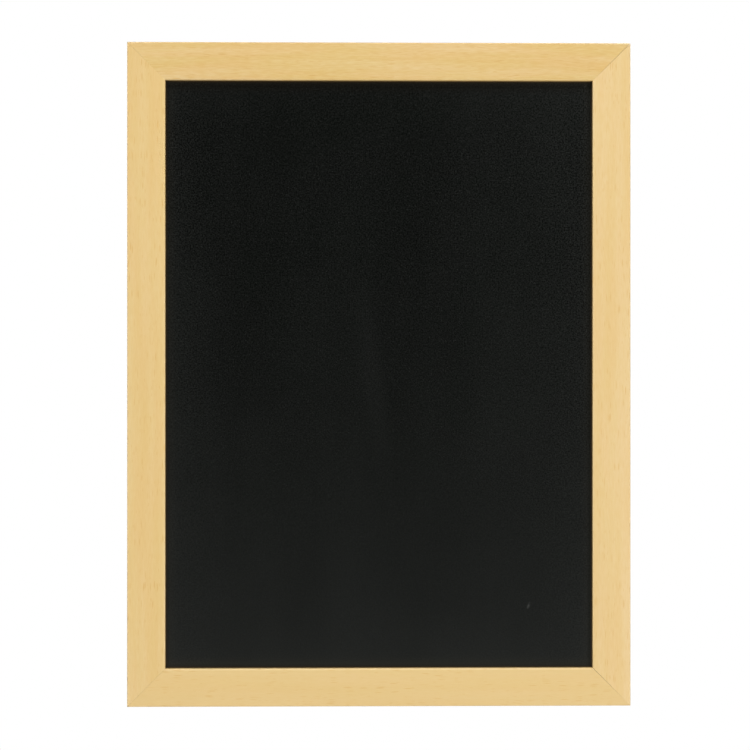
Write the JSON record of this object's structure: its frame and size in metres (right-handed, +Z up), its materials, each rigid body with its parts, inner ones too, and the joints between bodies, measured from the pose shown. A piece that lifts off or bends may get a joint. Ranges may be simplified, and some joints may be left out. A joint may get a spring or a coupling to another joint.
{
  "type": "chalkboard",
  "caption": "Upright framed chalkboard: mitred beech frame, black writing panel in its rebate, and swinging D-rings on the back to hang it from wall hooks.",
  "frame": {"origin": "midway between the two places where wall hooks carry the D-rings, in the plane of the frame's back", "axes": "+Z up, +Y from the writing side to the back, towards the wall, +X to the right of someone who faces the board"},
  "size_m": [0.311, 0.0191, 0.41],
  "materials": {
    "beech": "pale beech, satin, fine brown flecks along the grain",
    "chalk_surface": "matt black chalk coating with fine orange peel on brown hardboard",
    "zinc_steel": "bright zinc plate",
    "spring_steel": "dark rolled strip"
  },
  "bodies": {
    "board": {"bottom_rail": "beech", "bottom_rail_point_1": "spring_steel", "bottom_rail_point_2": "spring_steel", "left_hanger_screw": "zinc_steel", "left_hanger_strap": "zinc_steel", "left_stile": "beech", "left_stile_point_1": "spring_steel", "left_stile_point_2": "spring_steel", "left_stile_point_3": "spring_steel", "right_hanger_screw": "zinc_steel", "right_hanger_strap": "zinc_steel", "right_stile": "beech", "right_stile_point_1": "spring_steel", "right_stile_point_2": "spring_steel", "right_stile_point_3": "spring_steel", "top_rail": "beech", "top_rail_point_1": "spring_steel", "top_rail_point_2": "spring_steel", "v_nail_bottom_left_inner": "zinc_steel", "v_nail_bottom_left_outer": "zinc_steel", "v_nail_bottom_right_inner": "zinc_steel", "v_nail_bottom_right_outer": "zinc_steel", "v_nail_top_left_inner": "zinc_steel", "v_nail_top_left_outer": "zinc_steel", "v_nail_top_right_inner": "zinc_steel", "v_nail_top_right_outer": "zinc_steel", "writing_panel": "chalk_surface"},
    "left_ring": {"left_hanger_d_ring": "zinc_steel"},
    "right_ring": {"right_hanger_d_ring": "zinc_steel"}
  },
  "joints": [
    {"name": "left_ring_swing", "type": "hinge", "parent": "board", "child": "left_ring", "pos_m": [-0.148, 0.0021, -0.01048], "axis": [-1, 0, 0], "range_deg": [0, 179]},
    {"name": "right_ring_swing", "type": "hinge", "parent": "board", "child": "right_ring", "pos_m": [0.148, 0.0021, -0.01048], "axis": [-1, 0, 0], "range_deg": [0, 179]}
  ]
}
